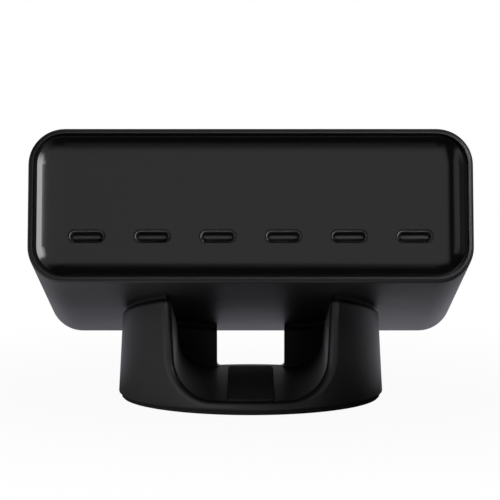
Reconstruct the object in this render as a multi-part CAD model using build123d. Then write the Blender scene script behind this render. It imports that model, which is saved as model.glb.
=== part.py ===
from build123d import *
import os
from math import atan2, radians, sqrt, tan

# Charger housing, in its own frame: X across, Y from front to rear, Z up from its underside
housing_width = 110.0
housing_height = 38.6
housing_depth = 91.0
housing_corner = 9.0
housing_wall = 2.2
front_edge_round = 1.1
rear_edge_round = 2.0

# Front panel: a plate in a pocket behind the rim, dished towards its flat middle
rim_width = 1.25
panel_gap = 0.9
panel_setback = 0.35
panel_floor = 2.0
panel_edge_round = 0.2
dish_band_width = 1.3
dish_band_drop = 0.35
dish_blend_width = 4.9
lip_gap = 0.15
lip_wall = 1.2
lip_length = 4.0

# Sockets behind the front panel, whose openings leave a thin lip over the edge of each shell
port_count = 6
port_side_margin = 14.5
port_height = 11.75
socket_width = 8.94
socket_height = 3.16
socket_metal = 0.3
socket_length = 9.0
socket_setback = 0.9
socket_gap = 0.17
socket_seat_gap = 0.1
opening_gap = 0.1
opening_chamfer = 0.35
insert_gap = 0.04
insert_length = 3.4
tongue_width = 6.69
tongue_thickness = 0.7
tongue_setback = 0.9

# Circuit board on moulded rails
board_thickness = 1.6
board_corner = 1.5
board_front_gap = 0.5
board_rear_gap = 0.5
board_side_gap = 0.25
rail_reach = 3.6
rail_thickness = 1.5
rail_gap = 0.1
rail_front_gap = 0.3

# Folded heat spreader that stands on the board
spreader_thickness = 1.2
spreader_air_gap = 1.0
spreader_edge_inset = 3.0
spreader_bend = 2.0
thermal_pad_thickness = 2.0

# Output chokes and capacitors, one of each behind every socket
choke_side = 8.0
choke_height = 5.0
choke_bevel = 1.2
output_can_diameter = 6.3
output_can_height = 9.0
can_bead_depth = 0.35
can_bead_height = 1.4
can_bevel = 0.5

# Wound parts: a closed ferrite frame round a centre post that carries the winding
transformer_width = 34.0
transformer_depth = 28.0
transformer_post = 11.0
boost_width = 27.0
boost_depth = 24.0
boost_post = 9.0
core_yoke = 3.6
core_side = 3.4
winding_gap = 0.3

# Mains side
bulk_diameter = 13.5
bulk_head_gap = 1.5
filter_width = 18.0
filter_height = 16.0
filter_limb = 3.6
filter_wire = 1.4
x_capacitor_width = 9.0
x_capacitor_depth = 17.0
x_capacitor_height = 14.0
case_edge_round = 1.0
fuse_diameter = 8.4
fuse_height = 7.5
disc_diameter = 8.0
disc_thickness = 3.6
lead_width = 0.8
lead_height = 3.0
bridge_thickness = 3.6
bridge_length = 17.0
bridge_height = 14.0
bridge_lead_count = 4
part_gap = 1.2

# Two-pin mains inlet through the rear wall
inlet_width = 20.0
inlet_height = 13.0
inlet_depth = 17.0
inlet_corner = 3.0
inlet_shoulder = 1.2
inlet_gap = 0.15
inlet_setback = 0.3
inlet_lobe_radius = 4.0
inlet_lobe_spacing = 6.6
inlet_waist = 6.9
inlet_cavity_depth = 9.5
pin_diameter = 2.4
pin_spacing = 8.6
pin_tip_gap = 1.0
pin_fit = 0.05

# Stand: origin at the middle of its foot, on the desk
tilt = 15.0
rest_height = 22.9
arm_width = 15.5
stand_draft = 3.1
stand_wall = 2.0
stand_lower_round = 0.5
stand_edge_round = 1.6
stand_top_round = 1.0
foot_thickness = 1.2
foot_inset = 0.8
base_plate_thickness = 1.0
base_plate_gap = 0.2
channel_floor_web = 1.2
channel_gap = 0.1
channel_draft = 3.1
channel_corner_gap = 1.0
rear_wall = 4.4
notch_width = 18.2
notch_corner = 1.0
strip_width = 11.9
strip_length = 60.0
strip_thickness = 0.9
strip_recess = 0.4
strip_gap = 0.1
strip_inset = 1.9
strip_corner = 1.5
strip_edge_round = 0.3
grip_thickness = 1.0
grip_margin = 0.2

# Screws that hold the base plate
screw_diameter = 2.5
screw_head_diameter = 4.3
screw_length = 8.0
screw_gap = 0.1
screw_row_spacing = 20.0
boss_diameter = 6.0

# How near an edge must lie to a surface to count as being on it
edge_tolerance = 0.001

# Depths of the housing's main planes
front = -housing_depth / 2
rear = housing_depth / 2
inner_rear = rear - housing_wall
panel_front = front + panel_setback
dish_slope = atan2(dish_band_drop, dish_band_width)
dish_depth = dish_band_drop + dish_blend_width * tan(dish_slope / 2)
panel_flat = panel_front + dish_depth
panel_back = panel_flat + panel_floor
socket_mouth = panel_flat + socket_setback
socket_back = socket_mouth + socket_length

# Half widths and heights that the inner pieces share
inner_half_width = housing_width / 2 - housing_wall
inner_top = housing_height - housing_wall
board_top = port_height - socket_height / 2
board_bottom = board_top - board_thickness
board_half_width = inner_half_width - lip_gap - lip_wall - board_side_gap
board_front = panel_back + board_front_gap
board_rear = inner_rear - board_rear_gap
spreader_half_width = board_half_width - spreader_edge_inset
spreader_under = inner_top - spreader_air_gap - spreader_thickness
wound_height = spreader_under - thermal_pad_thickness - board_top
port_pitch = (housing_width - 2 * port_side_margin) / (port_count - 1)
port_places = [(number - (port_count - 1) / 2) * port_pitch for number in range(port_count)]

# Rows of parts on the board, spread evenly from the sockets to the inlet
wound_depth = max(transformer_depth, 2 * bulk_diameter + part_gap)
row_depths = [choke_side, output_can_diameter, wound_depth, inlet_depth]
rows_start = socket_back
rows_end = inner_rear
row_gap = (rows_end - rows_start - sum(row_depths)) / len(row_depths)
choke_row = rows_start + row_gap + choke_side / 2
can_row = choke_row + choke_side / 2 + row_gap + output_can_diameter / 2
wound_row = can_row + output_can_diameter / 2 + row_gap + wound_depth / 2
mains_row = inner_rear - inlet_depth / 2

# Places across the board, spread evenly between the legs of the spreader
leg_inside = spreader_half_width - spreader_thickness
wound_gap = (2 * leg_inside - bulk_diameter - transformer_width - boost_width) / 4
bulk_place = -leg_inside + wound_gap + bulk_diameter / 2
transformer_place = bulk_place + bulk_diameter / 2 + wound_gap + transformer_width / 2
boost_place = transformer_place + transformer_width / 2 + wound_gap + boost_width / 2
side_room = leg_inside - inlet_width / 2 - inlet_shoulder
sleeve_inner = filter_limb + 2 * winding_gap
sleeve_outer = sleeve_inner + 2 * filter_wire
filter_span = filter_width - filter_limb + sleeve_outer
left_gap = (side_room - filter_span - x_capacitor_width) / 3
x_capacitor_place = -leg_inside + left_gap + x_capacitor_width / 2
filter_place = x_capacitor_place + x_capacitor_width / 2 + left_gap + filter_span / 2
right_gap = (side_room - fuse_diameter - disc_diameter - bridge_thickness) / 4
fuse_place = leg_inside - side_room + right_gap + fuse_diameter / 2
disc_place = fuse_place + fuse_diameter / 2 + right_gap + disc_diameter / 2
bridge_place = disc_place + disc_diameter / 2 + right_gap + bridge_thickness / 2

# Widths, heights and reaches of the stand, whose channel takes the charger on its edge
channel_corner = housing_corner + channel_corner_gap
channel_width = housing_height + 2 * channel_gap - 2 * channel_corner * tan(radians(channel_draft))
stand_radius = channel_width / 2 + arm_width
grip_inset = stand_top_round + grip_margin
plate_top = foot_thickness + base_plate_thickness
channel_floor = plate_top + channel_floor_web
stand_height = rest_height + stand_radius * tan(radians(tilt)) + grip_thickness
plate_radius = stand_radius - stand_wall - base_plate_gap
channel_half_top = channel_width / 2 + (stand_height - channel_floor) * tan(radians(channel_draft))
arm_inner_face = channel_half_top + stand_wall
boss_place = arm_inner_face + boss_diameter / 2 - stand_wall / 2
screw_places = [(side * boss_place, end * screw_row_spacing / 2) for side in (-1, 1) for end in (-1, 1)]

# The charger's own frame, tilted so that its front is raised, above the middle of the stand
charger_frame = Pos(0, 0, rest_height) * Rot(-tilt, 0, 0)


def along_depth(outline, start, end):
    """Carry an outline drawn in X and Z from one depth to another."""
    plane = Plane(origin=(0, start, 0), x_dir=(1, 0, 0), z_dir=(0, -1, 0))
    return extrude(plane * outline, amount=start - end)


def upright(outline, bottom, top):
    """Carry an outline drawn in X and Y from one height to another."""
    return extrude(Pos(0, 0, bottom) * outline, amount=top - bottom)


def body_outline(inset):
    """The housing's rounded section, drawn in by an inset."""
    section = RectangleRounded(
        housing_width - 2 * inset, housing_height - 2 * inset, housing_corner - inset
    )
    return Pos(0, housing_height / 2) * section


def make_housing():
    """A one-piece case: rounded ends, a pocket for the panel, board rails and the inlet opening."""
    case = along_depth(body_outline(0), front, rear)
    case = fillet(case.edges().group_by(Axis.Y)[0], front_edge_round)
    case = fillet(case.edges().group_by(Axis.Y)[-1], rear_edge_round)
    case -= along_depth(body_outline(housing_wall), front, inner_rear)
    case -= along_depth(body_outline(rim_width), front, panel_back)
    rail_front = panel_back + lip_length + rail_front_gap
    rail_width = rail_reach + housing_wall / 2
    rail_center = inner_half_width - rail_reach + rail_width / 2
    rail_bottoms = (board_bottom - rail_thickness, board_top + rail_gap)
    for side in (-1, 1):
        for rail_bottom in rail_bottoms:
            section = Pos(side * rail_center, rail_bottom + rail_thickness / 2) * Rectangle(
                rail_width, rail_thickness
            )
            case += along_depth(section, rail_front, inner_rear)
    case -= along_depth(inlet_outline(inlet_gap), inner_rear, rear)
    return case


def dish_cutter():
    """The hollow of the dish: a sloped band and a tangent arc, carried round the panel."""
    inset = rim_width + panel_gap
    plane = Plane(origin=(0, panel_front, 0), x_dir=(1, 0, 0), z_dir=(0, -1, 0))
    path = (plane * body_outline(inset)).wire()
    inward = Vector(0, 1, 0).cross(path % 0)
    middle = Vector(0, panel_front, housing_height / 2)
    if inward.dot(middle - path @ 0) < 0:
        inward = -inward
    across = Plane(origin=path @ 0, x_dir=inward, z_dir=inward.cross(Vector(0, 1, 0)))
    reach = dish_band_width + dish_blend_width
    slope_end = (dish_band_width, dish_band_drop)
    slope = Line((0, 0), slope_end)
    blend = TangentArc(slope_end, (reach, dish_depth), tangent=slope % 1)
    back = Polyline((reach, dish_depth), (reach, -panel_setback), (0, -panel_setback), (0, 0))
    profile = make_face(slope + blend + back)
    band = sweep(across * profile, path=path)
    floor = along_depth(body_outline(inset + reach), panel_front - panel_setback, panel_flat)
    return band, floor


def make_front_panel():
    """The face plate with its dish, its six socket openings and the lip that locates it."""
    plate = along_depth(body_outline(rim_width + panel_gap), panel_front, panel_back)
    plate = fillet(plate.edges().group_by(Axis.Y)[0], panel_edge_round)
    for cutter in dish_cutter():
        plate -= cutter
    lip_inset = housing_wall + lip_gap
    lip = body_outline(lip_inset) - body_outline(lip_inset + lip_wall)
    plate += along_depth(lip, panel_back, panel_back + lip_length)
    for place in port_places:
        spot = Pos(place, port_height)
        plate -= along_depth(spot * socket_slot(opening_gap - socket_metal), panel_flat, panel_back)
        plate -= along_depth(spot * socket_slot(socket_gap), socket_mouth - socket_seat_gap, panel_back)
        plane = Plane(origin=(place, panel_flat, port_height), x_dir=(1, 0, 0), z_dir=(0, 1, 0))
        mouth = socket_slot(opening_gap - socket_metal + opening_chamfer)
        plate -= extrude(plane * mouth, amount=opening_chamfer, taper=45)
    return plate


def socket_slot(margin):
    """The outline of a socket shell, a slot with full-round ends, grown by a margin."""
    return SlotOverall(socket_width + 2 * margin, socket_height + 2 * margin)


def make_socket_shell(place):
    """A folded metal tube with full-round ends, open at its mouth."""
    wall = socket_slot(0) - socket_slot(-socket_metal)
    return along_depth(Pos(place, port_height) * wall, socket_mouth, socket_back)


def make_socket_tongue(place):
    """The moulded insert that closes the tube, with the flat contact tongue in front of it."""
    block = socket_slot(-socket_metal - insert_gap)
    insert = along_depth(Pos(place, port_height) * block, socket_back - insert_length, socket_back)
    blade = Pos(place, port_height) * Rectangle(tongue_width, tongue_thickness)
    insert += along_depth(blade, socket_mouth + tongue_setback, socket_back - insert_length)
    return insert


def make_board():
    """The circuit board, with rounded corners."""
    outline = RectangleRounded(2 * board_half_width, board_rear - board_front, board_corner)
    return upright(Pos(0, (board_front + board_rear) / 2) * outline, board_bottom, board_top)


def make_output_choke(place):
    """A moulded choke: a square block with bevelled corners and top."""
    outline = chamfer(Rectangle(choke_side, choke_side).vertices(), choke_bevel)
    block = upright(outline, board_top, board_top + choke_height)
    block = chamfer(block.edges().group_by(Axis.Z)[-1], can_bevel)
    return Pos(place, choke_row) * block


def make_can(diameter, height):
    """A capacitor can: a turned body with a crimped bead near its base and a bevelled top edge."""
    radius = diameter / 2
    neck = radius - can_bead_depth
    profile = Polyline(
        (0, 0),
        (radius, 0),
        (radius, can_bead_height),
        (neck, 1.5 * can_bead_height),
        (radius, 2 * can_bead_height),
        (radius, height),
        (0, height),
        close=True,
    )
    can = revolve(Plane.XZ * make_face(profile), axis=Axis.Z)
    can = chamfer(can.edges().group_by(Axis.Z)[-1], can_bevel)
    return Pos(0, 0, board_top) * can


def make_wound_pair(width, depth, post, place):
    """A ferrite frame with a round centre post, and the winding that fills the frame's window."""
    top = board_top + wound_height
    window_half = width / 2 - core_side
    frame = Rectangle(width, wound_height) - Rectangle(2 * window_half, wound_height - 2 * core_yoke)
    frame = Pos(0, board_top + wound_height / 2) * frame
    core = along_depth(frame, -depth / 2, depth / 2)
    core = fillet(core.edges().filter_by(Axis.Y).group_by(Axis.X)[0], case_edge_round)
    core = fillet(core.edges().filter_by(Axis.Y).group_by(Axis.X)[-1], case_edge_round)
    core += upright(Circle(post / 2), board_top + core_yoke, top - core_yoke)
    winding_radius = min(window_half, depth / 2) - winding_gap
    turns = Circle(winding_radius) - Circle(post / 2 + winding_gap)
    winding = upright(turns, board_top + core_yoke, top - core_yoke)
    spot = Pos(place, wound_row)
    return spot * core, spot * winding


def make_thermal_pad():
    """The soft pad between the transformer and the heat spreader."""
    outline = RectangleRounded(
        transformer_width - 2 * case_edge_round, transformer_depth - 2 * case_edge_round, case_edge_round
    )
    bottom = spreader_under - thermal_pad_thickness
    return upright(Pos(transformer_place, wound_row) * outline, bottom, spreader_under)


def make_heat_spreader():
    """A sheet folded down along both sides, standing on the board over the wound parts."""
    height = spreader_under + spreader_thickness - board_top
    outer = RectangleRounded(2 * spreader_half_width, 2 * height, spreader_bend)
    inner_bend = spreader_bend - spreader_thickness
    inner = RectangleRounded(2 * leg_inside, 2 * (height - spreader_thickness), inner_bend)
    fold = (outer - inner) & (Pos(0, height / 2) * Rectangle(2 * spreader_half_width, height))
    spreader_front = wound_row - wound_depth / 2
    spreader_rear = wound_row + wound_depth / 2
    return along_depth(Pos(0, board_top) * fold, spreader_front, spreader_rear)


def make_filter_choke():
    """A closed rectangular core standing on the board, with a wound sleeve on each upright limb."""
    frame = Rectangle(filter_width, filter_height) - Rectangle(
        filter_width - 2 * filter_limb, filter_height - 2 * filter_limb
    )
    frame = Pos(filter_place, board_top + filter_height / 2) * frame
    core = along_depth(frame, mains_row - filter_limb / 2, mains_row + filter_limb / 2)
    sleeve_bottom = board_top + filter_limb
    sleeve_top = board_top + filter_height - filter_limb
    sleeve = RectangleRounded(sleeve_outer, sleeve_outer, filter_wire) - Rectangle(sleeve_inner, sleeve_inner)
    limb_place = (filter_width - filter_limb) / 2
    windings = [
        upright(Pos(filter_place + side * limb_place, mains_row) * sleeve, sleeve_bottom, sleeve_top)
        for side in (-1, 1)
    ]
    return core, Part() + windings


def make_x_capacitor():
    """A moulded box capacitor with rounded edges, flat on the board."""
    case = upright(Rectangle(x_capacitor_width, x_capacitor_depth), board_top, board_top + x_capacitor_height)
    case = fillet(case.edges().filter_by(Axis.Z) + case.edges().group_by(Axis.Z)[-1], case_edge_round)
    return Pos(x_capacitor_place, mains_row) * case


def make_disc_capacitor(depth):
    """A dipped disc that stands on two flat leads."""
    radius = disc_diameter / 2
    centre = board_top + lead_height + radius
    disc = along_depth(Pos(0, centre) * Circle(radius), -disc_thickness / 2, disc_thickness / 2)
    disc = chamfer(disc.edges().filter_by(GeomType.CIRCLE), case_edge_round)
    for side in (-1, 1):
        lead = Pos(side * radius / 2, 0) * Rectangle(lead_width, lead_width)
        disc += upright(lead, board_top, centre)
    return Pos(disc_place, depth) * disc


def make_fuse():
    """A round radial fuse with a bevelled top edge, flat on the board."""
    body = upright(Circle(fuse_diameter / 2), board_top, board_top + fuse_height)
    body = chamfer(body.edges().group_by(Axis.Z)[-1], can_bevel)
    return Pos(fuse_place, mains_row) * body


def make_bridge_rectifier():
    """A flat rectifier pack that stands on four flat leads."""
    bottom = board_top + lead_height
    pack = upright(Rectangle(bridge_thickness, bridge_length), bottom, bottom + bridge_height)
    pack = chamfer(pack.edges().group_by(Axis.Z)[-1], can_bevel)
    lead_pitch = bridge_length / bridge_lead_count
    for number in range(bridge_lead_count):
        place = (number - (bridge_lead_count - 1) / 2) * lead_pitch
        pack += upright(Pos(0, place) * Rectangle(lead_width, lead_width), board_top, bottom)
    return Pos(bridge_place, mains_row) * pack


def inlet_centre():
    """Height of the inlet's axis."""
    return board_top + inlet_shoulder + inlet_height / 2


def inlet_outline(margin):
    """The rounded nose of the inlet in X and Z, grown by a margin."""
    nose = RectangleRounded(inlet_width + 2 * margin, inlet_height + 2 * margin, inlet_corner + margin)
    return Pos(0, inlet_centre()) * nose


def make_inlet():
    """The inlet: a shouldered body with a two-lobed cavity, and the two round pins inside it."""
    nose_end = rear - inlet_setback
    body = along_depth(inlet_outline(0), inner_rear, nose_end)
    body += along_depth(inlet_outline(inlet_shoulder), inner_rear - inlet_depth, inner_rear)
    lobe = Circle(inlet_lobe_radius)
    cavity = Rectangle(inlet_lobe_spacing, inlet_waist)
    for side in (-1, 1):
        cavity += Pos(side * inlet_lobe_spacing / 2, 0) * lobe
    cavity_floor = nose_end - inlet_cavity_depth
    body -= along_depth(Pos(0, inlet_centre()) * cavity, cavity_floor, nose_end)
    pins = []
    for side in (-1, 1):
        spot = Pos(side * pin_spacing / 2, inlet_centre())
        hole = Circle(pin_diameter / 2 + pin_fit)
        body -= along_depth(spot * hole, inner_rear - inlet_depth, cavity_floor)
        pin = along_depth(spot * Circle(pin_diameter / 2), inner_rear - inlet_depth, nose_end - pin_tip_gap)
        pins.append(chamfer(pin.edges().group_by(Axis.Y)[-1], pin_diameter / 4))
    return body, Part() + pins


def stand_radius_at(height):
    """Outer radius of the drafted drum at a height."""
    return stand_radius - (height - foot_thickness) * tan(radians(stand_draft))


def drum(inset, bottom, top):
    """A drafted round drum, drawn in by an inset, between two heights."""
    lower = stand_radius_at(bottom) - inset
    upper = stand_radius_at(top) - inset
    return Pos(0, 0, bottom) * Cone(lower, upper, top - bottom, align=(Align.CENTER, Align.CENTER, Align.MIN))


def above_slope(drop):
    """All that lies above a plane parallel to the charger's underside, lowered by a drop."""
    size = 4 * stand_radius
    block = Box(size, size, size, align=(Align.CENTER, Align.CENTER, Align.MIN))
    return charger_frame * Pos(0, 0, -drop) * block


def channel_outline(bottom, margin):
    """The U of the channel in X and Z: drafted walls and a flat floor with rounded corners."""
    half = channel_width / 2 + margin
    half_top = channel_half_top + margin
    points = [
        (-half_top, stand_height),
        (-half, bottom),
        (half, bottom),
        (half_top, stand_height),
    ]
    outline = make_face(Polyline(*points, close=True))
    corners = outline.vertices().group_by(Axis.Y)[0]
    return fillet(corners, channel_corner)


def channel_cutter(margin):
    """The channel: straight from the front to the middle, then ended by a round rear wall."""
    outline = channel_outline(channel_floor, margin)
    open_half = along_depth(outline, -2 * stand_radius, 0)
    closed_half = along_depth(outline, 0, 2 * stand_radius)
    round_end = upright(Circle(stand_radius - rear_wall + margin), 0, stand_height + margin)
    return open_half + (closed_half & round_end)


def notch_cutter():
    """The notch in the rear wall, down to the channel floor."""
    notch = Rectangle(notch_width, stand_height, align=(Align.CENTER, Align.MIN))
    notch = fillet(notch.vertices().group_by(Axis.Y)[0], notch_corner)
    return along_depth(Pos(0, channel_floor) * notch, 0, 2 * stand_radius)


def on_channel_mouth(edge):
    """True for the edges where the channel breaks through the front of the drum."""
    spot = edge @ 0.5
    off_drum = abs(sqrt(spot.X**2 + spot.Y**2) - stand_radius_at(spot.Z))
    return spot.Y < 0 and abs(spot.X) < channel_half_top and off_drum < edge_tolerance


def on_sloped_top(edge):
    """True for the edges that bound the sloped top of the drum."""
    slope = Plane(charger_frame * Pos(0, 0, -grip_thickness))
    return all(abs(slope.to_local_coords(edge @ share).Z) < edge_tolerance for share in (0, 0.5, 1))


def make_stand_shell():
    """The moulded drum: sloped top, channel, notched rear wall, hollow arms and screw bosses."""
    shell = drum(0, foot_thickness, stand_height)
    shell = fillet(shell.edges().group_by(Axis.Z)[0], stand_lower_round)
    shell -= above_slope(grip_thickness)
    shell -= channel_cutter(0)
    shell = fillet(shell.edges().filter_by(on_channel_mouth), stand_edge_round)
    shell = fillet(shell.edges().filter_by(on_sloped_top), stand_top_round)
    shell -= notch_cutter()
    shell -= upright(Circle(plate_radius + base_plate_gap), foot_thickness, plate_top)
    shell -= strip_outline(strip_gap, channel_floor - strip_recess, channel_floor)
    hollow = drum(stand_wall, plate_top, stand_height) - above_slope(grip_thickness + stand_wall)
    core_block = Box(2 * arm_inner_face, 4 * stand_radius, 4 * stand_height)
    hollow -= core_block
    for place in screw_places:
        hollow -= upright(Pos(*place) * Circle(boss_diameter / 2), plate_top, stand_height)
    shell -= hollow
    for place in screw_places:
        pilot = Pos(*place) * Circle(screw_diameter / 2 + screw_gap)
        shell -= upright(pilot, plate_top, foot_thickness + screw_length + screw_gap)
    return shell


def strip_outline(margin, bottom, top):
    """The strip on the channel floor: straight sides, and a front end that follows the drum."""
    reach = stand_radius - strip_inset + margin
    width = strip_width + 2 * margin
    length = strip_length + 2 * margin
    sides = Pos(0, -reach) * Rectangle(width, length, align=(Align.CENTER, Align.MIN))
    outline = Circle(reach) & sides
    outline = fillet(outline.vertices(), strip_corner)
    return upright(outline, bottom, top)


def make_channel_strip():
    """A rubber strip with a softened top edge, let into the channel floor."""
    bottom = channel_floor - strip_recess
    strip = strip_outline(0, bottom, bottom + strip_thickness)
    return fillet(strip.edges().group_by(Axis.Z)[-1], strip_edge_round)


def make_grip_pad(side):
    """A flat rubber pad along the top of one arm and its half of the rear wall, under the charger."""
    pad = drum(grip_inset, foot_thickness, stand_height + grip_thickness)
    pad &= above_slope(grip_thickness)
    pad -= above_slope(0)
    pad -= channel_cutter(grip_inset)
    pad -= notch_cutter()
    reach = 4 * stand_radius
    other_side = Box(reach, reach, reach, align=(Align.MIN, Align.CENTER, Align.CENTER))
    return pad - (Pos(-reach, 0, 0) * other_side if side > 0 else other_side)


def make_base_plate():
    """A round plate with a countersunk hole over each boss."""
    plate = upright(Circle(plate_radius), foot_thickness, plate_top)
    for place in screw_places:
        plate -= Pos(*place) * screw_form(screw_gap)
    return plate


def screw_form(margin):
    """A countersunk screw, head down, grown by a margin."""
    shank = screw_diameter / 2 + margin
    head = screw_head_diameter / 2 + margin
    profile = Polyline(
        (0, foot_thickness),
        (head, foot_thickness),
        (shank, plate_top),
        (shank, foot_thickness + screw_length),
        (0, foot_thickness + screw_length),
        close=True,
    )
    return revolve(Plane.XZ * make_face(profile), axis=Axis.Z)


def make_foot():
    """The rubber foot: a disc with a bevelled lower edge."""
    foot = upright(Circle(stand_radius - foot_inset), 0, foot_thickness)
    return chamfer(foot.edges().group_by(Axis.Z)[0], strip_edge_round)


def charger_pieces():
    """Every piece of the charger by name, in the charger's own frame."""
    pieces = {
        "housing": make_housing(),
        "front_panel": make_front_panel(),
        "main_board": make_board(),
        "thermal_pad": make_thermal_pad(),
        "heat_spreader": make_heat_spreader(),
        "x_capacitor": make_x_capacitor(),
        "fuse": make_fuse(),
        "bridge_rectifier": make_bridge_rectifier(),
    }
    for number, place in enumerate(port_places, start=1):
        pieces[f"usb_c_shell_{number}"] = make_socket_shell(place)
        pieces[f"usb_c_tongue_{number}"] = make_socket_tongue(place)
        pieces[f"output_choke_{number}"] = make_output_choke(place)
        can = make_can(output_can_diameter, output_can_height)
        pieces[f"output_capacitor_{number}"] = Pos(place, can_row) * can
    transformer = make_wound_pair(transformer_width, transformer_depth, transformer_post, transformer_place)
    pieces["transformer_core"], pieces["transformer_winding"] = transformer
    boost = make_wound_pair(boost_width, boost_depth, boost_post, boost_place)
    pieces["boost_choke_core"], pieces["boost_choke_winding"] = boost
    bulk_height = spreader_under - bulk_head_gap - board_top
    for number, end in enumerate((-1, 1), start=1):
        spot = Pos(bulk_place, wound_row + end * (bulk_diameter + part_gap) / 2)
        pieces[f"bulk_capacitor_{number}"] = spot * make_can(bulk_diameter, bulk_height)
    pieces["filter_choke_core"], pieces["filter_choke_windings"] = make_filter_choke()
    disc_depths = [mains_row + end * (disc_thickness + part_gap) for end in (-1, 1)]
    pieces["y_capacitors"] = Part() + [make_disc_capacitor(depth) for depth in disc_depths]
    pieces["inlet_body"], pieces["inlet_pins"] = make_inlet()
    return pieces


def stand_pieces():
    """Every piece of the stand by name."""
    return {
        "stand_shell": make_stand_shell(),
        "stand_base_plate": make_base_plate(),
        "stand_screws": Part() + [Pos(*place) * screw_form(0) for place in screw_places],
        "stand_foot": make_foot(),
        "channel_strip": make_channel_strip(),
        "grip_pad_left": make_grip_pad(-1),
        "grip_pad_right": make_grip_pad(1),
    }


os.makedirs("parts", exist_ok=True)
for name, piece in charger_pieces().items():
    export_step(charger_frame * piece, f"parts/{name}.step")
for name, piece in stand_pieces().items():
    export_step(piece, f"parts/{name}.step")
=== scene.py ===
"""Looks of a flat six-socket desktop charger that lies tilted on a round channelled stand."""
from math import cos, pi, radians, sin, tan

import bpy
import numpy as np
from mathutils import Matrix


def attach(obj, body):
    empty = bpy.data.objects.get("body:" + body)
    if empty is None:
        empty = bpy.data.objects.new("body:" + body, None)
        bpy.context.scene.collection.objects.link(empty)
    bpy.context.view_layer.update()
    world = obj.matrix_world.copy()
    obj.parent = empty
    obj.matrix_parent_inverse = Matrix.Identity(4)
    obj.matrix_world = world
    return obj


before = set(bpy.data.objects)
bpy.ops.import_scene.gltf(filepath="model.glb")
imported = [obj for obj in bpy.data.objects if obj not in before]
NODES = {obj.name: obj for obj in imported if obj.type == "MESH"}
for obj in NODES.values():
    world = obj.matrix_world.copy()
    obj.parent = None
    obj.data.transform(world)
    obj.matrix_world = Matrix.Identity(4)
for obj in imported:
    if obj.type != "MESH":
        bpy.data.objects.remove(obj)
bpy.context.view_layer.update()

MM = 0.001

# The charger's own frame: tilted about X and raised on the stand
TILT = radians(15.0)
REST_HEIGHT = 22.9 * MM

# Camera and framing found from the photo's outline
CAMERA_PLACE = (-0.17 * MM, -771.7 * MM, 117.1 * MM)
CAMERA_PITCH = radians(84.16)
CAMERA_LENS = 214.8
CAMERA_SENSOR = 36.0


def linear(code):
    """An sRGB hex colour as linear red, green, blue and alpha."""
    parts = np.array([int(code[i:i + 2], 16) for i in (1, 3, 5)]) / 255.0
    low = parts / 12.92
    high = ((parts + 0.055) / 1.055) ** 2.4
    return (*np.where(parts <= 0.04045, low, high).tolist(), 1.0)


WHITE = linear("#ffffff")


def add(tree, kind, inputs=(), **settings):
    """Adds one node, sets its properties, and fills its inputs, by name or in order, each with a value,
    a link from a socket, or a link from a node's first output."""
    made = tree.nodes.new(kind)
    for name, value in settings.items():
        setattr(made, name, value)
    for key, value in inputs.items() if isinstance(inputs, dict) else enumerate(inputs):
        if isinstance(value, bpy.types.Node):
            value = value.outputs[0]
        if isinstance(value, bpy.types.NodeSocket):
            tree.links.new(value, made.inputs[key])
        else:
            made.inputs[key].default_value = value
    return made


# Setting of a map range node for a smooth step. Its inputs are the value, where the step starts and ends,
# and the levels at its start and end
SMOOTH = {"interpolation_type": "SMOOTHSTEP"}


def blank(name):
    """A new material's node tree with only its output in it."""
    material = bpy.data.materials.new(name)
    material.use_nodes = True
    tree = material.node_tree
    tree.nodes.clear()
    return material, tree, add(tree, "ShaderNodeOutputMaterial")


MOTTLE_MM = 14.0
STREAK_STRETCH = 0.05
STREAK_SPREAD = 0.06
STREAK_DEPTH = 0.01 * MM
TURN_DEPTH = 0.2 * MM
# The wave texture's phase runs this many radians for each unit of its scale
WAVE_PHASE = 20.0


def moulded(name, dark, light, roughness, spread, grain_mm, depth_mm, ior=1.5):
    """A moulded surface: two close tones in slow mottles, a fine grain in the height, and gloss
    that varies a little with the mottles."""
    material, tree, output = blank(name)
    where = add(tree, "ShaderNodeTexCoord").outputs["Object"]
    mottle = add(tree, "ShaderNodeTexNoise", {"Vector": where, "Scale": 1000.0 / MOTTLE_MM, "Detail": 3.0})
    grain = add(tree, "ShaderNodeTexNoise", {"Vector": where, "Scale": 1000.0 / grain_mm, "Detail": 2.0})
    tone = add(
        tree, "ShaderNodeMix", {"Factor": mottle.outputs["Fac"], "A": linear(dark), "B": linear(light)},
        data_type="RGBA",
    )
    gloss = add(
        tree, "ShaderNodeMapRange",
        {"Value": mottle.outputs["Fac"], "To Min": roughness - spread, "To Max": roughness + spread},
    )
    bump = add(tree, "ShaderNodeBump", {"Height": grain.outputs["Fac"], "Distance": depth_mm * MM})
    shader = add(
        tree, "ShaderNodeBsdfPrincipled",
        {
            "Base Color": tone.outputs["Result"], "Roughness": gloss.outputs["Result"],
            "IOR": ior, "Normal": bump.outputs["Normal"],
        },
    )
    tree.links.new(shader.outputs["BSDF"], output.inputs["Surface"])
    return material


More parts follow.
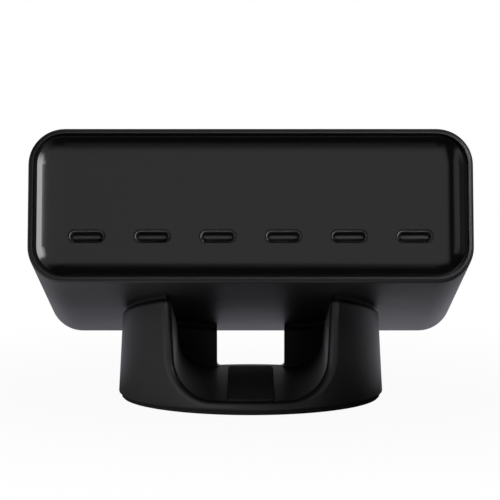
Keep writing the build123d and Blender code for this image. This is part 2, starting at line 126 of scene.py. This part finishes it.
def metal(name, dark, light, roughness, streak_mm, along):
    """A rolled or drawn metal: fine streaks stretched along one axis in tone, gloss and height."""
    material, tree, output = blank(name)
    where = add(tree, "ShaderNodeTexCoord").outputs["Object"]
    stretch = [1.0, 1.0, 1.0]
    stretch[along] = STREAK_STRETCH
    streaks = add(tree, "ShaderNodeMapping", {"Vector": where, "Scale": stretch})
    noise = add(
        tree, "ShaderNodeTexNoise",
        {"Vector": streaks.outputs["Vector"], "Scale": 1000.0 / streak_mm, "Detail": 3.0},
    )
    tone = add(
        tree, "ShaderNodeMix", {"Factor": noise.outputs["Fac"], "A": linear(dark), "B": linear(light)},
        data_type="RGBA",
    )
    gloss = add(
        tree, "ShaderNodeMapRange",
        {
            "Value": noise.outputs["Fac"], "To Min": roughness - STREAK_SPREAD,
            "To Max": roughness + STREAK_SPREAD,
        },
    )
    bump = add(tree, "ShaderNodeBump", {"Height": noise.outputs["Fac"], "Distance": STREAK_DEPTH})
    shader = add(
        tree, "ShaderNodeBsdfPrincipled",
        {
            "Base Color": tone.outputs["Result"], "Roughness": gloss.outputs["Result"],
            "Metallic": 1.0, "Normal": bump.outputs["Normal"],
        },
    )
    tree.links.new(shader.outputs["BSDF"], output.inputs["Surface"])
    return material


def wound(name, wire, painted_gap_shade, wire_mm):
    """Enamelled wire in close turns: rounded bands across the winding's axis, with painted shade darkening
    the creases between turns.
    """
    material, tree, output = blank(name)
    where = add(tree, "ShaderNodeTexCoord").outputs["Object"]
    turned = add(tree, "ShaderNodeMapping", {"Vector": where, "Rotation": (TILT, 0.0, 0.0)})
    turns = add(
        tree, "ShaderNodeTexWave",
        {"Vector": turned.outputs["Vector"], "Scale": 2.0 * pi / (WAVE_PHASE * wire_mm * MM)},
        wave_type="BANDS", bands_direction="Z", wave_profile="SIN",
    )
    # The dark colour between the turns is painted shade, where shade falls in the creases
    tone = add(
        tree, "ShaderNodeMix", {"Factor": turns.outputs["Fac"], "A": linear(painted_gap_shade), "B": linear(wire)},
        data_type="RGBA",
    )
    bump = add(tree, "ShaderNodeBump", {"Height": turns.outputs["Fac"], "Distance": TURN_DEPTH})
    shader = add(
        tree, "ShaderNodeBsdfPrincipled",
        {
            "Base Color": tone.outputs["Result"], "Roughness": 0.3, "Metallic": 0.7,
            "Normal": bump.outputs["Normal"],
        },
    )
    tree.links.new(shader.outputs["BSDF"], output.inputs["Surface"])
    return material


# The real grain of mouldings, rubber and ferrite and the streaks of metal are mostly finer than 0.1 mm and
# wouldn't show, so they are drawn 0.1 to 1 mm coarse

# Polycarbonate case from a spark-eroded mould: matt, near black with a trace of blue
CASE = moulded("polycarbonate_spark_eroded", "#111113", "#141417", 0.46, 0.03, 0.45, 0.012)
# Polycarbonate face from a polished mould: black mirror with a very slight flow ripple
FACE = moulded("polycarbonate_polished", "#050506", "#060607", 0.11, 0.02, 9.0, 0.002)
# ABS stand from a satin mould: black, softer shine than the face
STAND = moulded("abs_satin_moulded", "#0c0c0d", "#0f0f10", 0.42, 0.03, 0.6, 0.004)
# Silicone rubber pads: black, dull, with a faint cast grain
RUBBER = moulded("silicone_rubber_cast", "#121213", "#171718", 0.75, 0.04, 0.8, 0.015, ior=1.41)
# Liquid crystal polymer insert: black, smooth and slightly waxy
INSERT = moulded("lcp_moulded", "#141415", "#1a1a1b", 0.40, 0.03, 0.5, 0.006)
# Glass fibre board under solder mask: green with the weave just showing
BOARD = moulded("glass_fibre_board", "#0d3d22", "#14532e", 0.42, 0.05, 0.7, 0.010)
# Sintered ferrite: dark grey, stony
FERRITE = moulded("sintered_ferrite", "#2a2a2c", "#3a3a3d", 0.62, 0.06, 0.5, 0.030)
# Plain shrink sleeve on a capacitor can: dark blue film
SLEEVE = moulded("shrink_sleeve", "#0d1b3a", "#142650", 0.34, 0.05, 2.0, 0.015)
# Dipped epoxy on ceramic discs: blue, thick and glossy
DIPPED = moulded("dipped_epoxy", "#1c4c8a", "#265ca0", 0.25, 0.04, 1.6, 0.040)
# Filled epoxy packages: charcoal, fine and matt
EPOXY = moulded("epoxy_moulded", "#1a1a1a", "#242423", 0.50, 0.05, 0.4, 0.012)
# Polyester film box: pale grey, semi gloss
BOX_FILM = moulded("polyester_box", "#8f8d86", "#a19f98", 0.42, 0.05, 1.0, 0.010)
# Gap pad: filled silicone, grey, soft and dull
GAP_PAD = moulded("filled_silicone_pad", "#8a8f99", "#979ca6", 0.75, 0.05, 0.9, 0.030)
# Nickel-plated folded shell: grey, with faint drawing lines along its depth
NICKEL = metal("nickel_plated_steel", "#9a9a9c", "#b0b0b2", 0.45, 0.25, 1)
# Rolled aluminium sheet: pale, with rolling lines across
SHEET = metal("rolled_aluminium", "#b9bbbd", "#d2d3d5", 0.36, 0.4, 0)
# Zinc-plated steel: cool grey
STEEL = metal("zinc_plated_steel", "#8e9297", "#aeb2b6", 0.38, 0.5, 0)
# Plated brass pins: pale and polished
PIN = metal("nickel_plated_brass", "#a8a292", "#c8c1ae", 0.22, 0.2, 1)
# Palladium-nickel flash on the contacts: pale and neutral
CONTACT = metal("palladium_nickel_flashed", "#a5a29b", "#bdbab2", 0.28, 0.1, 1)
# Enamelled copper wire: warm brown, in close shining turns, with painted shade between the turns
WIRE = wound("enamelled_copper_wire", "#b5622f", "#3a1608", 0.9)

BY_START = {
    "housing": CASE, "front_panel": FACE, "usb_c_shell": NICKEL, "usb_c_tongue": INSERT,
    "main_board": BOARD, "output_choke": FERRITE, "output_capacitor": SHEET, "transformer_core": FERRITE,
    "boost_choke_core": FERRITE, "filter_choke_core": FERRITE, "transformer_winding": WIRE,
    "boost_choke_winding": WIRE, "filter_choke_windings": WIRE, "bulk_capacitor": SLEEVE,
    "x_capacitor": BOX_FILM, "y_capacitors": DIPPED, "fuse": EPOXY, "bridge_rectifier": EPOXY,
    "heat_spreader": SHEET, "thermal_pad": GAP_PAD, "inlet_body": INSERT, "inlet_pins": PIN,
    "stand_shell": STAND, "stand_base_plate": STEEL, "stand_screws": STEEL, "stand_foot": RUBBER,
    "channel_strip": RUBBER, "grip_pad": RUBBER,
}
for name, piece in NODES.items():
    start = next(key for key in BY_START if name.startswith(key))
    piece.data.materials.clear()
    piece.data.materials.append(BY_START[start])


def mesh_object(name, points, faces, material):
    """A mesh object at the origin from arrays of points and faces."""
    mesh = bpy.data.meshes.new(name)
    mesh.from_pydata(points.tolist(), [], faces.tolist())
    mesh.materials.append(material)
    made = bpy.data.objects.new(name, mesh)
    bpy.context.scene.collection.objects.link(made)
    return made


def own_frame(points):
    """Points of the scene in the charger's own frame: lowered by its rest height, then turned level."""
    y, z = points[:, 1], points[:, 2] - REST_HEIGHT
    depth, height = y * cos(TILT) - z * sin(TILT), y * sin(TILT) + z * cos(TILT)
    return np.column_stack([points[:, 0], depth, height])


def in_scene(points):
    """Points of the charger's own frame in the scene: tilted about X, then raised by its rest height."""
    y, z = points[:, 1], points[:, 2]
    depth, height = y * cos(TILT) + z * sin(TILT), z * cos(TILT) - y * sin(TILT) + REST_HEIGHT
    return np.column_stack([points[:, 0], depth, height])


# Contacts of each socket: thin strips side by side on both faces of its tongue
PORT_COUNT = 6
CONTACT_COUNT = 12
CONTACT_PITCH = 0.5 * MM
CONTACT_SIZE = np.array([0.28, 3.4, 0.04]) * MM
CONTACT_START = 0.45 * MM
TONGUE_THICKNESS = 0.7 * MM
BOX_CORNERS = np.array([[x, y, z] for z in (0, 1) for y in (0, 1) for x in (-0.5, 0.5)])
BOX_FACES = np.array([[0, 2, 3, 1], [4, 5, 7, 6], [0, 1, 5, 4], [2, 6, 7, 3], [0, 4, 6, 2], [1, 3, 7, 5]])


def make_contacts(number):
    """Boxes in two rows over the tongue's width, one row on its upper face and its mirror image below,
    each box one corner set stretched to the strip's size and moved to its place in the row."""
    tongue = NODES[f"usb_c_tongue_{number}"]
    flat = np.empty(3 * len(tongue.data.vertices), dtype=np.float32)
    tongue.data.vertices.foreach_get("co", flat)
    own = own_frame(flat.reshape(-1, 3).astype(float))
    low, high = own.min(axis=0), own.max(axis=0)
    middle = (low + high) / 2.0
    row = (np.arange(CONTACT_COUNT) - (CONTACT_COUNT - 1) / 2.0) * CONTACT_PITCH
    start = np.column_stack([
        middle[0] + row, np.full(CONTACT_COUNT, low[1] + CONTACT_START),
        np.full(CONTACT_COUNT, middle[2] + TONGUE_THICKNESS / 2.0),
    ])
    above = (start[:, None, :] + BOX_CORNERS * CONTACT_SIZE).reshape(-1, 3)
    below = above * [1.0, 1.0, -1.0] + [0.0, 0.0, 2.0 * middle[2]]
    steps = len(BOX_CORNERS) * np.arange(CONTACT_COUNT)[:, None, None]
    upper = (BOX_FACES + steps).reshape(-1, 4)
    faces = np.concatenate([upper, upper[:, ::-1] + len(above)])
    points = in_scene(np.concatenate([above, below]))
    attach(mesh_object(f"usb_c_contacts_{number}", points, faces, CONTACT), "root")


for number in range(1, PORT_COUNT + 1):
    make_contacts(number)


def glow(name, strength, fades):
    """A light card: even in the middle, fading to nothing over a share of it at its left, right,
    lower and upper edges."""
    material, tree, output = blank(name)
    where = add(tree, "ShaderNodeUVMap", uv_map="card")
    split = add(tree, "ShaderNodeSeparateXYZ", {"Vector": where.outputs["UV"]})
    level = strength
    for axis, near, far in (("X", fades[0], fades[1]), ("Y", fades[2], fades[3])):
        for ends in ((0.0, near, 0.0, 1.0), (1.0 - far, 1.0, 1.0, 0.0)):
            edge = add(tree, "ShaderNodeMapRange", (split.outputs[axis], *ends), **SMOOTH)
            level = add(tree, "ShaderNodeMath", (edge, level), operation="MULTIPLY")
    shine = add(tree, "ShaderNodeEmission", {"Color": WHITE, "Strength": level})
    tree.links.new(shine.outputs["Emission"], output.inputs["Surface"])
    return material


# The point that all cards face: in front of the middle of the face
AIM = np.array([0.0, -45.0 * MM, 50.0 * MM])


def light_card(name, azimuths, elevations, fades, distance, strength):
    """A flat card that faces the charger and fills a window of directions, in degrees. Azimuth is
    counted from the front towards the right, elevation from the desk. The fades are the degrees over
    which it comes in from its left, right, lower and upper edges. Each side of it is twice the distance
    times the tangent of half the window."""
    a, e = radians(sum(azimuths) / 2.0), radians(sum(elevations) / 2.0)
    turn, rise = azimuths[1] - azimuths[0], elevations[1] - elevations[0]
    width = 2.0 * distance * tan(radians(turn) / 2.0)
    height = 2.0 * distance * tan(radians(rise) / 2.0)
    out = np.array([sin(a) * cos(e), -cos(a) * cos(e), sin(e)])
    across = np.array([cos(a), sin(a), 0.0])
    up = np.cross(across, -out)
    signs = np.array([[-1, -1], [1, -1], [1, 1], [-1, 1]]) / 2.0
    points = AIM + distance * out + signs[:, :1] * width * across + signs[:, 1:] * height * up
    shares = [fades[0] / turn, fades[1] / turn, fades[2] / rise, fades[3] / rise]
    card = mesh_object(name, points, np.array([[0, 1, 2, 3]]), glow(name, strength, shares))
    layer = card.data.uv_layers.new(name="card")
    layer.data.foreach_set("uv", (signs + 0.5).astype(np.float32).ravel())
    card.visible_camera = False


# Studio cards: a tall softbox on the right of the front, a higher card further right, a dim card over
# the camera, a narrow dim strip on the left, low cards on the left, a kicker behind and a card above
light_card("softbox_right", (19.3, 36.0), (9.0, 38.0), (6.7, 6.0, 3.0, 3.0), 1.0, 10.0)
light_card("card_right_high", (40.0, 75.0), (20.0, 42.0), (8.0, 10.0, 6.0, 8.0), 1.0, 11.0)
light_card("card_over_camera", (-10.5, 30.0), (-2.5, 50.5), (5.5, 8.0, 14.0, 8.5), 3.0, 0.68)
light_card("strip_left", (-27.5, -16.0), (-2.0, 34.0), (7.5, 2.6, 5.0, 5.0), 1.0, 0.74)
light_card("card_front_left", (-72.0, -28.0), (-3.0, 10.0), (10.0, 8.0, 3.0, 3.0), 0.9, 1.7)
light_card("card_left", (-150.0, -70.0), (-3.0, 14.0), (20.0, 20.0, 5.0, 5.0), 0.8, 0.6)
light_card("kicker_right", (138.0, 162.0), (-2.0, 24.0), (8.0, 8.0, 9.0, 9.0), 0.8, 1.5)
light_card("card_above", (150.0, 210.0), (55.0, 85.0), (20.0, 20.0, 10.0, 10.0), 1.0, 0.7)


# The flag's height and corners, and the steps of its glow from the left and towards the right
FLAG_HEIGHT = 31.5 * MM
FLAG_CORNERS = np.array([[-90, -230], [200, -230], [200, -20], [57.5, -20], [57.5, -46], [-90, -46]]) * MM
FLAG_LEFT = (-50.0 * MM, 10.0 * MM, 1.10, 0.45)
FLAG_RIGHT = (10.0 * MM, 90.0 * MM, 1.0, 0.2)


def make_flag():
    """A flat flag in front, just below the face, that keeps the softboxes off the stand: pale above, and
    below it a dim glow that falls off from left to right."""
    material, tree, output = blank("flag_cloth")
    where = add(tree, "ShaderNodeTexCoord").outputs["Object"]
    side = add(tree, "ShaderNodeSeparateXYZ", {"Vector": where}).outputs["X"]
    left = add(tree, "ShaderNodeMapRange", (side, *FLAG_LEFT), **SMOOTH)
    right = add(tree, "ShaderNodeMapRange", (side, *FLAG_RIGHT), **SMOOTH)
    level = add(tree, "ShaderNodeMath", (left, right), operation="MULTIPLY")
    above = add(tree, "ShaderNodeBsdfDiffuse", {"Color": linear("#b8b8b8")})
    below = add(tree, "ShaderNodeEmission", {"Color": WHITE, "Strength": level})
    both = add(
        tree, "ShaderNodeMixShader",
        {
            0: add(tree, "ShaderNodeNewGeometry").outputs["Backfacing"],
            1: above.outputs["BSDF"], 2: below.outputs["Emission"],
        },
    )
    tree.links.new(both.outputs["Shader"], output.inputs["Surface"])
    count = len(FLAG_CORNERS)
    points = np.column_stack([FLAG_CORNERS, np.full(count, FLAG_HEIGHT)])
    flag = mesh_object("flag", points, np.arange(count)[None, :], material)
    flag.visible_camera = False


make_flag()

FLOOR_RADIUS = 0.45
FLOOR_SIDES = 96
FLOOR_DROP = 0.02 * MM
SLANT = radians(30.0)
# Place and size of a painted pool of light on the floor, seen only in reflections
PAINTED_POOL_MIDDLE = -52.0 * MM
PAINTED_POOL_HALF_WIDTH = 75.0 * MM
PAINTED_POOL_HALF_DEPTH = 22.0 * MM
# Smooth steps of the floor, in this order: white to the eye, painted light behind from left to right and
# from front to back, painted light at the front left, the edge of a painted pool of light, the fade far out,
# and a painted cool tint behind
EYE_STEP = (30.0 * MM, 0.4 * FLOOR_RADIUS, 0.95, 1.0)
ACROSS_STEP = (-70.0 * MM, 70.0 * MM, 0.72, 0.92)
BEHIND_STEP = (0.0, 90.0 * MM, 0.0, 1.0)
FRONT_LEFT_STEP = (10.0 * MM, 90.0 * MM, 0.0, 0.95)
PAINTED_POOL_STEP = (0.6, 1.0, 0.50, 0.0)
FAR_STEP = (90.0 * MM, 200.0 * MM, 1.0, 0.45)
PAINTED_TINT_STEP = (0.0, 30.0 * MM, 0.0, 1.0)


def painted_light_floor(name):
    """A floor: white to the eye away from the stand, part of it a matt surface near the stand so
    that the shadow stays. In reflections it glows with painted light behind the charger, at the front left
    and in a painted pool of light under the front edge, with a painted cool tint behind, and is dim
    elsewhere."""
    material, tree, output = blank(name)
    path = add(tree, "ShaderNodeLightPath")
    where = add(tree, "ShaderNodeTexCoord").outputs["Object"]
    reach = add(tree, "ShaderNodeVectorMath", {0: where}, operation="LENGTH").outputs["Value"]
    plain = add(tree, "ShaderNodeMapRange", (reach, *EYE_STEP), **SMOOTH)
    eye = add(tree, "ShaderNodeMath", (path.outputs["Is Camera Ray"], plain), operation="MULTIPLY")
    split = add(tree, "ShaderNodeSeparateXYZ", {"Vector": where}).outputs
    across = add(tree, "ShaderNodeMapRange", (split["X"], *ACROSS_STEP), **SMOOTH)
    rearward = add(tree, "ShaderNodeMapRange", (split["Y"], *BEHIND_STEP), **SMOOTH)
    behind = add(tree, "ShaderNodeMath", (rearward, across), operation="MULTIPLY")
    leftward = add(tree, "ShaderNodeMath", (split["X"], -sin(SLANT)), operation="MULTIPLY")
    backward = add(tree, "ShaderNodeMath", (split["Y"], cos(SLANT)), operation="MULTIPLY")
    aslant = add(tree, "ShaderNodeMath", (leftward, backward), operation="SUBTRACT")
    front_left = add(tree, "ShaderNodeMapRange", (aslant, *FRONT_LEFT_STEP), **SMOOTH)
    # Painted pool of light under the front edge, seen only in reflections
    pool = add(
        tree, "ShaderNodeMapping",
        {
            "Vector": where, "Location": (0.0, -PAINTED_POOL_MIDDLE / PAINTED_POOL_HALF_DEPTH, 0.0),
            "Scale": (1.0 / PAINTED_POOL_HALF_WIDTH, 1.0 / PAINTED_POOL_HALF_DEPTH, 1.0),
        },
    )
    off = add(tree, "ShaderNodeVectorMath", {0: pool.outputs["Vector"]}, operation="LENGTH").outputs["Value"]
    painted_pool = add(tree, "ShaderNodeMapRange", (off, *PAINTED_POOL_STEP), **SMOOTH)
    lit = add(tree, "ShaderNodeMath", (behind, front_left), operation="MAXIMUM")
    lit = add(tree, "ShaderNodeMath", (lit, painted_pool), operation="MAXIMUM")
    near = add(tree, "ShaderNodeMapRange", (reach, *FAR_STEP), **SMOOTH)
    lit = add(tree, "ShaderNodeMath", (lit, near), operation="MULTIPLY")
    # Painted light: in reflections the floor glows by these steps instead of being lit by a lamp
    gloss = add(tree, "ShaderNodeMath", (path.outputs["Is Glossy Ray"], lit), operation="MULTIPLY")
    white = add(tree, "ShaderNodeEmission", {"Color": WHITE, "Strength": 1.0})
    # Painted cool tint in the reflections behind the charger
    cool = add(tree, "ShaderNodeMapRange", (split["Y"], *PAINTED_TINT_STEP), **SMOOTH)
    tint = add(
        tree, "ShaderNodeMix", {"Factor": cool, "A": WHITE, "B": linear("#f4f1ff")},
        data_type="RGBA",
    )
    pale = add(tree, "ShaderNodeEmission", {"Color": tint.outputs["Result"], "Strength": 1.0})
    matt = add(tree, "ShaderNodeBsdfDiffuse", {"Color": linear("#a4a4a4")})
    mirrored = add(
        tree, "ShaderNodeMixShader", {0: gloss, 1: matt.outputs["BSDF"], 2: pale.outputs["Emission"]},
    )
    both = add(
        tree, "ShaderNodeMixShader", {0: eye, 1: mirrored.outputs["Shader"], 2: white.outputs["Emission"]},
    )
    tree.links.new(both.outputs["Shader"], output.inputs["Surface"])
    return material


def make_floor():
    """A round floor about the stand, flat and just under desk level."""
    turns = np.linspace(0.0, 2.0 * pi, FLOOR_SIDES + 1)[:-1]
    rim = FLOOR_RADIUS * np.column_stack([np.cos(turns), np.sin(turns), np.zeros_like(turns)])
    rim[:, 2] -= FLOOR_DROP
    floor = mesh_object("floor", rim, np.arange(FLOOR_SIDES)[None, :], painted_light_floor("floor_with_painted_light"))


make_floor()


ROOM_STEP = (0.5, 0.95, 0.0, 0.22)


def make_room():
    """White to the eye all round, pale in reflections behind the charger, dim elsewhere."""
    world = bpy.data.worlds.new("studio")
    bpy.context.scene.world = world
    world.use_nodes = True
    room = world.node_tree
    room.nodes.clear()
    path = add(room, "ShaderNodeLightPath")
    toward = add(room, "ShaderNodeTexCoord").outputs["Generated"]
    way = add(room, "ShaderNodeSeparateXYZ", {"Vector": toward})
    behind = add(room, "ShaderNodeMapRange", (way.outputs["Y"], *ROOM_STEP), **SMOOTH)
    gloss = add(room, "ShaderNodeMath", (path.outputs["Is Glossy Ray"], behind), operation="MULTIPLY")
    seen = add(room, "ShaderNodeMath", (path.outputs["Is Camera Ray"], gloss), operation="MAXIMUM")
    dim = add(room, "ShaderNodeBackground", {"Color": linear("#6a6a6e"), "Strength": 0.2})
    white = add(room, "ShaderNodeBackground", {"Color": WHITE, "Strength": 1.0})
    mixed = add(
        room, "ShaderNodeMixShader",
        {0: seen, 1: dim.outputs["Background"], 2: white.outputs["Background"]},
    )
    add(room, "ShaderNodeOutputWorld", {"Surface": mixed.outputs["Shader"]})


make_room()

camera_data = bpy.data.cameras.new("camera")
camera_data.lens = CAMERA_LENS
camera_data.sensor_width = CAMERA_SENSOR
camera_data.sensor_fit = "HORIZONTAL"
camera = bpy.data.objects.new("camera", camera_data)
camera.location = CAMERA_PLACE
camera.rotation_euler = (CAMERA_PITCH, 0.0, 0.0)
bpy.context.scene.collection.objects.link(camera)
bpy.context.scene.camera = camera
bpy.context.scene.view_settings.view_transform = "Standard"
